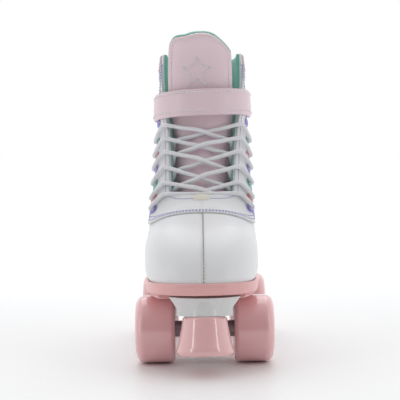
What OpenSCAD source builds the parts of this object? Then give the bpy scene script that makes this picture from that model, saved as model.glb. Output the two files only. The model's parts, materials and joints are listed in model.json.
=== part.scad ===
// Quad roller skate, left foot: a high laced boot on a plate with two trucks and four wheels.
// Everything is drawn with the front axle above the origin, toe towards -Y, and place() then
// centres the footprint. Lengths are millimetres.

/* [Wheels] */
// Wheel diameter over the tread
wheel_d = 54; // [52:1:55]
// Wheel width
wheel_w = 32; // [31:1:33]
// Distance from the centre line to the middle of a wheel
wheel_x = 39.4; // [39:0.2:41]
// Distance between the two axles
wheelbase = 140; // [138:1:143]

/* [Boot] */
// Half width of the boot over the ball of the foot
ball_half = 45.8; // [44:0.2:47]
// Thickness of the outer leather
leather = 1.6; // [1.4:0.1:1.8]
// Lace diameter
lace_d = 3.6; // [3.4:0.2:3.8]
// Height of the strap's lower edge above the floor
strap_low = 196.5; // [196:0.5:198]
// Width of the strap
strap_w = 22.5; // [21:0.5:24]

/* [Toe stop] */
// Diameter of the stopping face
stop_d = 45; // [42:1:46]
// Diameter where it meets the plate
stop_top_d = 34; // [30:1:36]
// Height of the rubber
stop_h = 30; // [28:1:31]

/* [Hidden] */

front_axle_y = -50.1;
axle_z = wheel_d / 2;
tread_z = 57.5;
fit_gap = 0.3;

// Colours of the materials
white_leather = "white";
rose = "#f0b4b4";
pale_pink = "#e8cfd6";
mint = "#7fd0bb";
steel = "#b8bcc0";

module place() translate([0, front_axle_y, 0]) children();
module as_mesh() resize([0, 0, 0]) children();

function mix(a, b, t) = a + (b - a) * t;
function spline(a, b, c, d, t) =
  0.5 * (2 * b + (c - a) * t + (2 * a - 5 * b + 4 * c - d) * t * t + (3 * b - a - 3 * c + d) * t * t * t);
// The value of a list at a whole or part place, smoothly between its entries
function at(list, u) =
  let(n = len(list) - 1, k = max(0, min(u, n)), i = min(floor(k), n - 1))
  spline(list[max(i - 1, 0)], list[i], list[i + 1], list[min(i + 2, n)], k - i);
function steps(a, b, n) = [for (i = [0:n]) mix(a, b, i / n)];
function unit(v) = v / norm(v);

// ---- The last: the shape of the boot ----

// Height of the boot's underside, every 30 mm from 64 mm ahead of the front axle
bottom_heights = [63, 61, 60.5, 62, 66, 71.5, 76, 78.5, 79];
function bottom_z(y) = at(bottom_heights, (y + 64) / 30);
band_height = 8.5;
function feather_z(y) = bottom_z(y) + band_height;

ball_y = 4;
toe_length = 67;
toe_stations = 6;
function toe_angle(k) = 3 + 87 * k / toe_stations;
// A station: near y, near z, far y, far z, near half width, far half width, share of the way to the
// widest place, near squareness, far squareness, sideways shift
function toe_station(k) =
  let(a = toe_angle(k), y = ball_y - toe_length * pow(cos(a), 0.87), w = ball_half * pow(sin(a), 0.87))
  [y, 66 + 40 * pow(sin(a), 0.75) + 12.5 * (y - ball_y + toe_length) / toe_length,
   y, bottom_z(y), w, w, 0.55, 2.4, 3.6, -2];
function foot_station(ny, nz, fy, nw, fw, c, pf, shift) =
  [ny, nz, fy, bottom_z(fy), nw, fw, c, 2.5, pf, shift];
stations = [
  for (k = [0:toe_stations]) toe_station(k),
  foot_station(22, 124.5, 20, 45.6, 45, 0.55, 3.6, -1.6),
  foot_station(37, 142, 50, 44.6, 42, 0.5, 3.8, -1),
  foot_station(50, 161, 85, 43.6, 38, 0.48, 4.2, -0.4),
  foot_station(61, 179, 125, 42.8, 35.5, 0.45, 4.4, 0),
  foot_station(68, 192, 158, 42.2, 34.5, 0.43, 3.8, 0.4),
  [72, 201, 172.5, 92, 41.8, 34, 0.42, 2.4, 2.8, 0.5],
  [75, 210, 173.5, 120, 41.4, 33.5, 0.42, 2.4, 2.4, 0.5],
  [78, 220, 169, 150, 41, 33, 0.42, 2.35, 2.3, 0.5],
  [80.5, 229, 164.5, 180, 40, 33.5, 0.43, 2.3, 2.3, 0.5],
  [82.5, 238, 163.5, 205, 38.8, 34, 0.45, 2.3, 2.3, 0.5],
  [84, 247, 165, 228, 37.6, 34, 0.47, 2.3, 2.3, 0.5],
  [85.5, 256, 167, 247, 36.5, 34, 0.48, 2.3, 2.3, 0.5]
];
collar = len(stations) - 1;
throat = 7.45;

// A point on the boot: u along it from toe to collar, v round it from the instep (0) to the
// sole or heel (180, left side negative), d out from its surface
function boot(u, v, d) =
  let(
    s = at(stations, u), way = unit([s[2] - s[0], s[3] - s[1]]), depth = norm([s[2] - s[0], s[3] - s[1]]),
    near = abs(v) <= 90, e = 2 / (near ? s[7] : s[8]),
    across = pow(abs(sin(v)), e), down = pow(abs(cos(v)), e),
    r = near ? s[6] * (1 - down) : s[6] + (1 - s[6]) * down,
    tip = d * pow(max(0, 1 - u / toe_stations), 0.7),
    run = -d + r * (depth + 2 * d)
  )
  [sign(v) * (mix(s[4], s[5], r) + d) * across + s[9], s[0] + way[0] * run - tip, s[1] + way[1] * run];

// The place round section u, on a surface d out, where it is h above the underside
function v_above(u, h, d, lo = 70, hi = 180, n = 14) =
  let(m = (lo + hi) / 2, p = boot(u, m, d))
  n == 0 ? m : p[2] > bottom_z(p[1]) + h ? v_above(u, h, d, m, hi, n - 1) : v_above(u, h, d, lo, m, n - 1);
// The section that has height z at v
function u_at_height(z, v, d, lo = 7, hi = collar, n = 14) =
  let(m = (lo + hi) / 2)
  n == 0 ? m : boot(m, v, d)[2] < z ? u_at_height(z, v, d, m, hi, n - 1) : u_at_height(z, v, d, lo, m, n - 1);

// ---- Solids from grids of points ----

function turned(faces) = [for (f = faces) [f[2], f[1], f[0]]];
// Faces of a slab whose outer and inner surfaces are both m rows of n points
function slab_faces(m, n) =
  let(k = m * n)
  [
    for (i = [0:m - 2], j = [0:n - 2])
      let(a = i * n + j, b = a + 1, c = a + n, d = c + 1)
      each [[a, c, b], [b, c, d], [k + a, k + b, k + c], [k + b, k + d, k + c]],
    for (i = [0:m - 2])
      let(a = i * n, c = a + n, b = a + n - 1, d = b + n)
      each [[a, k + a, c], [c, k + a, k + c], [b, d, k + b], [d, k + d, k + b]],
    for (j = [0:n - 2])
      let(a = j, b = j + 1, c = (m - 1) * n + j, d = c + 1)
      each [[a, b, k + a], [b, k + b, k + a], [d, c, k + d], [c, k + c, k + d]]
  ];
module slab(outer, inner, m, n, flip = false)
  polyhedron(concat(outer, inner), flip ? turned(slab_faces(m, n)) : slab_faces(m, n));

// A panel of the boot on one side, between v0(u) and v1(u), from d0 to d1 out
module panel(side, us, v0, v1, nv, d0, d1) {
  function skin(d) = [for (u = us, j = [0:nv]) boot(u, side * mix(v0(u), v1(u), j / nv), d)];
  slab(skin(d1), skin(d0), len(us), nv + 1, side < 0);
}

// The whole boot as one closed solid, d out
module last(d, u0 = 0, u1 = 14, nu = 24, nv = 40) {
  us = steps(u0, u1, nu);
  rings = [for (u = us, j = [0:nv - 1]) boot(u, 360 * j / nv - 180, d)];
  ends = [(boot(u0, 0, d) + boot(u0, 180, d)) / 2, (boot(u1, 0, d) + boot(u1, 180, d)) / 2];
  k = len(rings);
  polyhedron(concat(rings, ends), [
    for (i = [0:nu - 1], j = [0:nv - 1])
      let(a = i * nv + j, b = i * nv + (j + 1) % nv, c = a + nv, d = b + nv)
      each [[a, c, b], [b, c, d]],
    for (j = [0:nv - 1])
      let(b = (j + 1) % nv)
      each [[j, b, k], [nu * nv + b, nu * nv + j, k + 1]]
  ]);
}

// A stack of closed rings, each as many [x, y, z] points, closed flat at both ends by rungs
// from the right half of a ring to its left half
module ring_stack(rings) {
  n = len(rings[0]);
  m = len(rings);
  half = n / 2;
  polyhedron([for (r = rings) each r], [
    for (i = [0:m - 2], j = [0:n - 1])
      let(a = i * n + j, b = i * n + (j + 1) % n, c = a + n, d = b + n)
      each [[a, c, b], [b, c, d]],
    for (j = [0:half - 2])
      let(p = j, q = j + 1, s = n - 1 - j, t = n - 2 - j, top = (m - 1) * n)
      each [[p, q, s], [q, t, s], [top + p, top + s, top + q], [top + q, top + s, top + t]]
  ]);
}

// ---- Boot upper ----

// Edge of the lace opening, and the outer edge of the lace facing
edge_v = function(u) lookup(u, [[throat, 30], [12, 42], [14, 52], [16, 64], [17, 70], [18, 74]]);
facing_in = function(u) u < throat ? 0.6 : edge_v(u);
facing_out = function(u) 80;
row_u = [7.62, 8.12, 8.85, 9.6, 10.4, 11.7, 13.05];
rows = len(row_u);
function eyelet_v(row) = mix(57, 64, row / (rows - 1));
eyelet_r = 3.1;
function outward(u, v) =
  let(n = unit(cross(boot(u + 0.05, v, 0) - boot(u - 0.05, v, 0), boot(u, v + 1, 0) - boot(u, v - 1, 0))))
  n * (boot(u, v, 1) - boot(u, v, -1)) < 0 ? -n : n;
module point_out(p, way) translate(p) rotate([0, acos(way[2]), atan2(way[1], way[0])]) children();
module at_eyelet(side, row) {
  v = side * eyelet_v(row);
  point_out(boot(row_u[row], v, 0), outward(row_u[row], v)) children();
}
module eyelet_holes(side)
  for (row = [0:rows - 1])
    at_eyelet(side, row) translate([0, 0, -8]) cylinder(r = eyelet_r + 0.25, h = 16, $fn = 16);

module vamp(side) color(white_leather)
  panel(side, steps(0, throat - 0.01, 20), function(u) 0.5, function(u) 150, 16, -leather, 0);

module quarter(side) color(white_leather) as_mesh() difference() {
  panel(side, steps(throat, collar, 21), edge_v, function(u) mix(150, 179.4, min(1, max(0, (u - 10) / 2))),
        13, -leather, 0);
  eyelet_holes(side);
}

facing_sections = concat(
  [6.25, 6.5, 6.8, 7.1, throat - 0.02, throat + 0.06, 7.8, 8.2, 8.7, 9.3],
  [10, 10.8, 11.6, 12.6, 13.6, 14.6, 15.8, 17.2]
);
module lace_facing(side) color(white_leather) as_mesh() difference() {
  panel(side, facing_sections, facing_in, facing_out, 12, 0.55, 1.6);
  eyelet_holes(side);
}

module backstay() color(white_leather)
  for (side = [-1, 1])
    panel(side, steps(12.2, 16.7, 7), function(u) 152, function(u) 179.3, 8, 0.45, 1.5);

module collar_trim() color(rose)
  for (side = [-1, 1])
    panel(side, steps(16.85, collar, 3), function(u) 84, function(u) 179.3, 16, 0.45, 1.5);

lining_out = -leather - fit_gap;
module lining(side) color(mint) as_mesh() difference() {
  panel(side, steps(throat + 0.1, collar, 19), function(u) edge_v(u) + 1.5,
        function(u) mix(144, 179.2, min(1, max(0, (u - 10) / 2))), 12, lining_out - 2.6, lining_out);
  eyelet_holes(side);
}

// ---- Tongue ----

// Down the middle of its face: y, z, half width
tongue_line = [
  [8, 110.5, 19], [24, 117.5, 21.5], [38, 129.8, 22.5], [50.5, 146.4, 23], [61.5, 163.7, 24], [71.8, 177.4, 25],
  [76.6, 191.6, 25.5], [80.2, 208.8, 26], [82, 224, 26.3], [83, 238.5, 26.5], [82.3, 251.5, 26],
  [80, 262, 22], [77.5, 269, 14]
];
tongue_bow = 11;
function tongue_way(t) = unit(at(tongue_line, min(t + 0.1, 12)) - at(tongue_line, max(t - 0.1, 0)));
// A point of the tongue: t up it, k across it (-1 to 1), d down from its face
function tongue_point(t, k, d) =
  let(c = at(tongue_line, t), w = tongue_way(t), sunk = mix(tongue_bow, 8, smooth((t - 6.5) / 2.5)) * pow(abs(k), 2.2) + d)
  [c[2] * k, c[0] + w[1] * sunk, c[1] - w[0] * sunk];
tongue_depth = function(t, k) 1.3 + 4.7 * (1 - pow(abs(k), 3)) * min(1, t / 2 + 0.15);
module tongue_layer(t1, from_depth, to_depth) {
  ts = steps(0, t1, 22);
  nk = 12;
  function skin(deep) = [for (t = ts, j = [0:nk]) let(k = 2 * j / nk - 1) tongue_point(t, k, deep(t, k))];
  slab(skin(from_depth), skin(to_depth), len(ts), nk + 1);
}
module tongue() color(pale_pink) tongue_layer(11.9, function(t, k) 0, tongue_depth);
module tongue_lining() color(mint)
  tongue_layer(12, function(t, k) tongue_depth(t, k) + 0.1, function(t, k) tongue_depth(t, k) + 1.3);

module throat_tab() {
  us = [7.05, 7.2, throat - 0.03];
  function skin(d) = [for (u = us, x = [-1:1]) boot(u, 4 * x, d) + [1.5, 0, 0] * x];
  color("#e9e0c8") slab(skin(2.7), skin(1.9), 3, 3);
}

// ---- Inside the boot, and the sole ----

// The outline of the foot at h above the underside, on the surface d out, with its height
// given by z(y): right side from toe to heel, then the left side back
function foot_ring(us, h, d, z) = concat(
  [for (u = us) let(p = boot(u, v_above(u, h, d), d)) [p[0], p[1], z(p[1])]],
  [for (i = [len(us) - 1:-1:0]) let(p = boot(us[i], -v_above(us[i], h, d), d)) [p[0], p[1], z(p[1])]]
);
inner_sections = concat(steps(0.9, 10, 13), [10.5, 10.9, 11.2]);
// A layer under the foot, whose outline is that of the surface d out, taken rise above the layer
module foot_layer(low, high, d, rise) ring_stack([
  foot_ring(inner_sections, low + rise, d, function(y) bottom_z(y) + low),
  foot_ring(inner_sections, high + rise, d, function(y) bottom_z(y) + high)
]);

bolt_x = 14.5;
bolt_places = [[bolt_x, 8], [-bolt_x, 8], [bolt_x, wheelbase - 8], [-bolt_x, wheelbase - 8]];
bolt_r = 3;
module bolt_holes(r) for (p = bolt_places) translate([p[0], p[1], 40]) cylinder(r = r, h = 60, $fn = 20);

board_low = 3.8;
board_high = 5.8;
bolt_head_h = 2;
module insole_board() color("#cdb48a") as_mesh() difference() {
  foot_layer(board_low, board_high, -6, 2.6);
  bolt_holes(bolt_r + 0.2);
}
module footbed() color("#f3f0ee")
  foot_layer(board_high + bolt_head_h + 1.5, board_high + bolt_head_h + 4.5, -5.3, 0);
module shank() {
  ys = steps(30, 112, 8);
  function skin(h) = [for (y = ys, x = [-7, 7]) [x, y, bottom_z(y) + h]];
  color(steel) slab(skin(1.7), skin(0.3), len(ys), 2);
}

sole_sections = concat(steps(0, 10, 18), [10.4, 10.8, 11.1, 11.35, 11.5, 11.62, 11.7]);
heel_front = 106;
arch_rise = 9;
function smooth(t) = let(k = max(0, min(1, t))) k * k * (3 - 2 * k);
tread_low = function(y) tread_z + arch_rise * (smooth((y - 42) / 22) - smooth((y - heel_front + 7) / 7));
nose_back = -44;
function sole_ring(d, z, front = -100) =
  [for (p = foot_ring(sole_sections, band_height, d, z)) [p[0], max(p[1], front), z(p[1])]];
module outsole() color(rose) as_mesh() difference() {
  ring_stack([
    sole_ring(-1, tread_low, nose_back),
    sole_ring(-1, function(y) max(tread_low(y) + 0.5, bottom_z(y) - 1.5), nose_back),
    sole_ring(1.7, function(y) bottom_z(y) - 0.5),
    sole_ring(2.3, function(y) feather_z(y))
  ]);
  last(0.6, nu = 30, nv = 56);
  bolt_holes(bolt_r + 0.2);
}

// ---- Eyelets and lace ----

module eyelet() {
  rotate_extrude($fn = 32) polygon([
    [2.5, -5.8], [4.4, -5.8], [4.4, -5.5], [eyelet_r, -5.5],
    [eyelet_r, 1.95], [4.4, 1.95], [4, 2.5], [2.9, 2.5], [2.5, 2.1]
  ]);
}
module eyelets(first, c) color(c)
  for (side = [-1, 1], row = [first:3:rows - 1]) at_eyelet(side, row) eyelet();

lace_rows = rows - 1;
function lace_hole(side, row, d) =
  let(u = row_u[row], v = side * eyelet_v(row))
  boot(u, v, 0) + outward(u, v) * d;
// Straight out of the front of the boot, down its middle
function shin_way(u) = let(t = boot(u + 0.2, 0, 0) - boot(u - 0.2, 0, 0)) unit([0, -t[2], t[1]]);
// One crossing: out from under the facing on one side, over the tongue, and in at the next eyelet opposite
function lace_cross(side, row, lift) =
  let(u = row_u[row], w = row_u[row + 1], e = edge_v(u), f = edge_v(w), n = shin_way((u + w) / 2),
      a = boot(u + 0.1, side * (e - 5), -4.4), b = boot(w, -side * (f + 1), 4))
  [
    lace_hole(side, row, 2), lace_hole(side, row, -4), lace_hole(side, row, -7.9),
    boot(u + 0.06, side * (e + 6), -7.4), a, mix(a, b, 0.25) + n * lift * 0.5, mix(a, b, 0.47) + n * lift,
    mix(a, b, 0.72) + n * lift * 0.5, b, boot(w + 0.02, -side * (f + 10), 4.6), lace_hole(-side, row + 1, 4.6)
  ];
function lace_bar() =
  let(u = row_u[0], e = edge_v(u), a = boot(u, -e - 1, 4), b = boot(u, e + 1, 4))
  [boot(u, -e - 10, 4.6), a, mix(a, b, 0.3), mix(a, b, 0.5), mix(a, b, 0.7), b, boot(u, e + 10, 4.6)];
function lace_end(side) =
  let(row = lace_rows - 1, u = row_u[row], e = edge_v(u))
  [
    lace_hole(side, row, 2), lace_hole(side, row, -4), lace_hole(side, row, -8),
    boot(u + 0.5, side * (e + 16), -9.5), boot(u + 1.5, side * (e + 18), -9.5),
    boot(u + 2.6, side * (e + 22), -9.5)
  ];
function run_from(side) = concat(
  [for (row = [0:lace_rows - 2]) each lace_cross(side * (row % 2 == 0 ? 1 : -1), row, (side > 0 ? 4.6 : 0.7) + 0.5 * row)],
  lace_end(side * (lace_rows % 2 == 0 ? -1 : 1))
);
function backwards(list) = [for (i = [len(list) - 1:-1:0]) list[i]];
lace_points = concat(
  backwards(run_from(-1)), [lace_hole(-1, 0, 4.6)], lace_bar(), [lace_hole(1, 0, 4.6)], run_from(1)
);
function tangent(p, i) = unit(p[min(i + 1, len(p) - 1)] - p[max(i - 1, 0)]);
// Directions across a path that turn with it and never twist
function carried(p) = [
  for (i = 0, n = unit(cross(tangent(p, 0), [0.3, 1, 0.2])); i < len(p);
       i = i + 1, n = i < len(p) ? unit(n - tangent(p, i) * (n * tangent(p, i))) : n) n
];
module tube(path, r, sides) {
  across = carried(path);
  m = len(path);
  pts = [for (i = [0:m - 1]) let(n = across[i], b = cross(tangent(path, i), n))
    each [for (j = [0:sides - 1]) let(a = 360 * j / sides) path[i] + r * (cos(a) * n + sin(a) * b)]];
  polyhedron(pts, [
    for (i = [0:m - 2], j = [0:sides - 1])
      let(a = i * sides + j, b = i * sides + (j + 1) % sides)
      each [[a, a + sides, b], [b, a + sides, b + sides]],
    for (j = [1:sides - 2])
      let(end = (m - 1) * sides)
      each [[0, j, j + 1], [end, end + j + 1, end + j]]
  ]);
}
lace_fine = 2;
lace_path = [for (i = [0:(len(lace_points) - 1) * lace_fine]) at(lace_points, i / lace_fine)];
module lace() color("#ececf0") tube(lace_path, lace_d / 2, 6);
module lace_tips() color("#f4f4f6")
  for (end = [0, 1]) {
    p = end == 0 ? lace_path[0] : lace_path[len(lace_path) - 1];
    way = end == 0 ? unit(lace_path[0] - lace_path[1]) : unit(p - lace_path[len(lace_path) - 2]);
    point_out(p, way) cylinder(r = 1.5, h = 18, $fn = 24);
  }

// ---- Ankle strap ----

// The strap is sewn on at the left, the inner side of the ankle, and closes at the right. It swings
// about the line where it leaves the inner front corner of the boot
strap_left = -62;
strap_right = 96;
// It falls a little from the front to both sides, and more towards its sewn end
function strap_z(v) = strap_low + 1.75 * sin(v) - 2.3 * (1 - cos(v));
// How far its underside stands off the boot: it lies flat where it is sewn, and clears the lace facing
function strap_rise(v) = mix(0.3, 2.9, smooth((v + 108) / 24));
function strap_point(v, z, d) = boot(u_at_height(z, v, d), v, d);
module strap_band(v0, v1, n, low, high, d0, d1) {
  vs = steps(v0, v1, n);
  zs = [low, (low + high) / 2, high];
  function skin(d) = [for (v = vs, z = zs) strap_point(v, strap_z(v) + z, strap_rise(v) + d)];
  slab(skin(d1), skin(d0), len(vs), len(zs), true);
}
module strap() color(pale_pink) strap_band(strap_left, strap_right, 30, 0, strap_w, 0, 1.7);
module strap_hook_patch() color("#d8d8dc") strap_band(81, 95.5, 5, 3, strap_w - 3, -0.4, -0.05);
module strap_loop_patch() color("#e6e6ea") strap_band(82, 100, 6, 2, strap_w - 2, -2.6, -0.8);
module strap_anchor() color(pale_pink) strap_band(-124, strap_left - 2.6, 12, 0, strap_w, 0, 1.7);

// ---- Plate ----

plate_top = tread_z;
deck_h = 5;
deck_low = plate_top - deck_h;
steer_drop = [30, -14];
steer_way = unit(steer_drop);
pivot_yz = [-14, 47];
king_yz = pivot_yz + steer_drop;
king_tilt = atan2(-steer_drop[1], steer_drop[0]);
stop_tilt = 10;
stop_base = [-53, 14];
// Height of the toe stop's nut seat above the rubber
nut_seat = 5.8;
ring_t = 7;
cushion_h = 8.5;
cushion_gap = 0.15;
seat_at = ring_t / 2 + 2 * cushion_gap + cushion_h;

// Both trucks: the front one as drawn, the rear one turned end for end
module each_truck() { children(); translate([0, wheelbase, 0]) mirror([0, 1, 0]) children(); }
module rear() translate([0, wheelbase, 0]) mirror([0, 1, 0]) children();
// Along the kingpin, from the middle of the hanger's ring, up into the plate
module along_king() translate([0, king_yz[0], king_yz[1]]) rotate([-king_tilt, 0, 0]) children();
// Along the steering axis, from the pivot towards the hanger's ring
module along_steer() translate([0, pivot_yz[0], pivot_yz[1]]) rotate([-90 - king_tilt, 0, 0]) children();
// Up the toe stop's stem, from the middle of its stopping face
module along_stop() translate([0, stop_base[0], stop_base[1]]) rotate([-stop_tilt, 0, 0]) children();

module deck_outline() {
  half = [[-46, 20.5], [30, 20.5], [46, 16], [94, 16], [110, 20.5], [150, 20.5], [160, 17], [166, 10]];
  right = [for (p = half) [p[1], p[0]]];
  left = [for (i = [len(half) - 1:-1:0]) [-half[i][1], half[i][0]]];
  polygon(concat(right, left));
}
module nose_section(low_half, high_half, low, high)
  rotate([90, 0, 0]) linear_extrude(90) polygon([
    [-low_half, low], [low_half, low], [low_half, low + 6],
    [high_half, high], [-high_half, high], [-low_half, low + 6]
  ]);
module plate() color("white") difference() {
  union() {
    translate([0, 0, deck_low]) linear_extrude(deck_h) deck_outline();
    translate([-8, 34, 45]) cube([16, 72, deck_low - 45 + 1]);
    each_truck() intersection() {
      union() {
        along_king() translate([0, 0, seat_at]) cylinder(r = 12, h = 30, $fn = 48);
        translate([-11, -27, 41.5]) cube([22, 17.5, 12]);
      }
      translate([-30, -40, 30]) cube([60, 80, plate_top - 31]);
    }
    intersection() {
      nose_section(21.4, 27.4, 46, 59.9);
      translate([0, -20.5, 30]) cylinder(r = 41, h = 31.6, $fn = 96);
      translate([-40, -70, 30]) cube([80, 70 + nose_back - 0.5, 40]);
    }
    intersection() {
      along_stop() translate([0, 0, stop_h + 0.2]) cylinder(r = 16, h = 26, $fn = 48);
      translate([-30, -80, 20]) cube([60, 50, plate_top - 21]);
    }
  }
  each_truck() along_king() translate([0, 0, 1]) cylinder(r = 4, h = 22, $fn = 32);
  each_truck() along_steer() translate([0, 0, -9.2]) cylinder(r = 6, h = 30, $fn = 32);
  along_stop() translate([0, 0, stop_h - 5]) cylinder(r = 4, h = 60, $fn = 32);
  along_stop() translate([0, 0, stop_h + nut_seat]) cylinder(r = 8, h = 30, $fn = 32);
  for (p = bolt_places) translate([p[0], p[1], 40]) cylinder(r = bolt_r + 0.2, h = 30, $fn = 32);
}

module mounting_bolts() color(steel)
  for (p = bolt_places) {
    top = bottom_z(p[1]) + board_high + 0.6;
    translate([p[0], p[1], deck_low - 6.5]) cylinder(r = bolt_r, h = top - deck_low + 6.6, $fn = 32);
    translate([p[0], p[1], top]) cylinder(r = 6, h = bolt_head_h - 0.1, $fn = 40);
  }
module hex_nut(across, h, hole) difference() {
  cylinder(r = across / 2 / cos(30), h = h, $fn = 6);
  translate([0, 0, -1]) cylinder(r = hole, h = h + 2, $fn = 32);
}
module mounting_nuts() color(steel)
  for (p = bolt_places) translate([p[0], p[1], deck_low - 5.1]) hex_nut(10, 5, bolt_r + 0.05);

module toe_stop() color(rose) along_stop() difference() {
  lip = 4;
  bulge = 2;
  rotate_extrude($fn = 96) polygon(concat(
    [[0, 0], [stop_d / 2 - lip, 0]],
    corner(stop_d / 2 - lip, lip, lip, [-75:15:0]),
    [
      for (t = [0.3:0.2:0.9])
        [mix(stop_d / 2, stop_top_d / 2, t) - bulge * 0.25 * sin(180 * t), mix(lip, stop_h, t)]
    ],
    [[stop_top_d / 2, stop_h], [0, stop_h]]
  ));
  translate([0, 0, 6]) cylinder(r = 4.05, h = 40, $fn = 32);
  translate([0, 0, 5]) cylinder(r = 9.1, h = 4.1, $fn = 32);
}
module toe_stop_bolt() color(steel) along_stop() {
  translate([0, 0, 5.05]) cylinder(r = 9, h = 4, $fn = 40);
  translate([0, 0, 9]) cylinder(r = 3.95, h = stop_h + nut_seat - 2.3, $fn = 32);
}
module toe_stop_nut() color(steel) along_stop() translate([0, 0, stop_h + nut_seat + 0.1]) intersection() {
  hex_nut(13, 6, 4.0);
  translate([-10, -10, 0]) cube([20, 20, 6]);
}

// ---- Trucks ----

nut_at = -ring_t / 2 - 2 * cushion_gap - cushion_h - 1.6;
module kingpin() color(steel)
  along_king() translate([0, 0, nut_at - 8]) cylinder(r = 3.95, h = seat_at - nut_at + 17, $fn = 32);
module kingpin_nut() along_king() translate([0, 0, nut_at - 6.1]) hex_nut(13, 6, 4);
module cushions() color("#f2d7d7") along_king() for (up = [0, 1]) mirror([0, 0, 1 - up])
  translate([0, 0, ring_t / 2 + cushion_gap]) difference() {
    rotate_extrude($fn = 48) polygon([
      [0, 0], [9.2, 0], [9.6, 1], [9.4, 3.5], [7.6, 6.2], [7.2, cushion_h], [0, cushion_h]
    ]);
    translate([0, 0, -1]) cylinder(r = 4.05, h = cushion_h + 2, $fn = 32);
  }
module cushion_washer() along_king() translate([0, 0, nut_at]) difference() {
  cylinder(r = 7.3, h = 1.4, $fn = 40);
  translate([0, 0, -1]) cylinder(r = 4.05, h = 4, $fn = 32);
}
module pivot_cup() along_steer() translate([0, 0, -9.1]) difference() {
  cylinder(r = 5.9, h = 12, $fn = 40);
  translate([0, 0, 4]) cylinder(r = 4.1, h = 10, $fn = 40);
}

boss_end = 28.2;
module hanger() color(steel) difference() {
  union() {
    translate([-boss_end, 0, axle_z]) rotate([0, 90, 0]) cylinder(r = 6.5, h = 2 * boss_end, $fn = 48);
    hull() {
      translate([-15, 0, axle_z]) rotate([0, 90, 0]) cylinder(r = 5.5, h = 30, $fn = 32);
      along_king() translate([0, 0, -ring_t / 2]) cylinder(r = 10.5, h = ring_t, $fn = 32);
    }
    hull() {
      translate([-9, 0, axle_z]) rotate([0, 90, 0]) cylinder(r = 5.5, h = 18, $fn = 32);
      along_steer() translate([0, 0, 7]) cylinder(r = 4.4, h = 3, $fn = 32);
    }
    along_steer() translate([0, 0, -4]) cylinder(r = 4, h = 13, $fn = 40);
  }
  along_king() translate([0, 0, -12]) cylinder(r = 5.4, h = 24, $fn = 32);
  along_king() translate([0, 0, ring_t / 2]) cylinder(r = 11.2, h = 20, $fn = 32);
  along_king() translate([0, 0, -ring_t / 2 - 20]) cylinder(r = 11.2, h = 20, $fn = 32);
  translate([-40, 0, axle_z]) rotate([0, 90, 0]) cylinder(r = 4, h = 80, $fn = 32);
}

axle_end = 55.3;
module axle() color(steel)
  translate([-axle_end, 0, axle_z]) rotate([0, 90, 0]) cylinder(r = 3.97, h = 2 * axle_end, $fn = 32);

// Places along the axle, from the middle of a wheel outwards
bearing_in = 3;
bearing_w = 7;
module on_axle(side, x) translate([side * x, 0, axle_z]) rotate([0, side * 90, 0]) children();
module axle_nuts() color(steel) for (side = [-1, 1]) on_axle(side, wheel_x + bearing_in + bearing_w + 0.1) {
  hex_nut(12.5, 5.2, 4.02);
}
module inner_races() color(steel) for (side = [-1, 1]) on_axle(side, wheel_x)
  for (at_z = [bearing_in, -bearing_in - bearing_w]) translate([0, 0, at_z]) difference() {
    cylinder(r = 5.8, h = bearing_w, $fn = 40);
    translate([0, 0, -1]) cylinder(r = 4, h = bearing_w + 2, $fn = 32);
  }

// ---- Wheels: drawn with the outer side towards +Z ----

function corner(x, y, r, angles) = [for (a = angles) [x + r * cos(a), y + r * sin(a)]];
module tyre() {
  half = wheel_w / 2;
  outer_lip = 7.5;
  inner_lip = 4;
  rotate_extrude($fn = 120) polygon(concat(
    [[17, -half + 2], [21, -half]],
    corner(wheel_d / 2 - inner_lip, -half + inner_lip, inner_lip, [-90:15:0]),
    corner(wheel_d / 2 - outer_lip, half - outer_lip, outer_lip, [0:11.25:90]),
    [[17, half - 2.4]]
  ));
}
module hub() difference() {
  half = wheel_w / 2;
  cylinder(r = 16.95, h = wheel_w - 5, center = true, $fn = 72);
  cylinder(r = 8, h = wheel_w, center = true, $fn = 48);
  flare = bearing_in + bearing_w + 0.6;
  for (side = [0, 1]) mirror([0, 0, side]) {
    translate([0, 0, bearing_in]) cylinder(r = 11, h = half, $fn = 48);
    translate([0, 0, flare]) cylinder(r1 = 11, r2 = 13, h = half - flare + 1, $fn = 48);
  }
}
module bearings() for (at_z = [bearing_in + 0.01, -bearing_in - bearing_w - 0.01])
  translate([0, 0, at_z]) difference() {
    cylinder(r = 10.98, h = bearing_w, $fn = 48);
    translate([0, 0, -1]) cylinder(r = 6.1, h = bearing_w + 2, $fn = 48);
  }
module wheel_part(part, side, back) translate([0, back ? wheelbase : 0, 0]) on_axle(side, wheel_x) {
  if (part == "tyre") color(rose) tyre();
  if (part == "hub") color("#f6dcdc") hub();
  if (part == "bearings") color(steel) bearings();
}

// ---- Nodes ----

place() vamp(-1);  // vamp_left
place() vamp(1);  // vamp_right
place() quarter(-1);  // quarter_left
place() quarter(1);  // quarter_right
place() lace_facing(-1);  // lace_facing_left
place() lace_facing(1);  // lace_facing_right
place() backstay();
place() collar_trim();
place() lining(-1);  // lining_left
place() lining(1);  // lining_right
place() tongue();
place() tongue_lining();
place() throat_tab();
place() footbed();
place() insole_board();
place() shank();
place() outsole();
place() eyelets(0, "#8f86e8");  // eyelets_lilac
place() eyelets(1, "#f08a84");  // eyelets_coral
place() eyelets(2, "#54c9ac");  // eyelets_mint
place() lace();
place() lace_tips();
place() strap();
place() strap_hook_patch();
place() strap_loop_patch();
place() strap_anchor();
place() plate();
place() mounting_bolts();
place() mounting_nuts();
place() toe_stop();
place() toe_stop_bolt();
place() toe_stop_nut();
place() kingpin();  // kingpin_front
place() rear() kingpin();  // kingpin_rear
place() color(steel) each_truck() kingpin_nut();  // kingpin_nuts
place() cushions();  // cushions_front
place() rear() cushions();  // cushions_rear
place() color(steel) each_truck() cushion_washer();  // cushion_washers
place() color("#d8d8d8") each_truck() pivot_cup();  // pivot_cups
place() hanger();  // hanger_front
place() rear() hanger();  // hanger_rear
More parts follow.
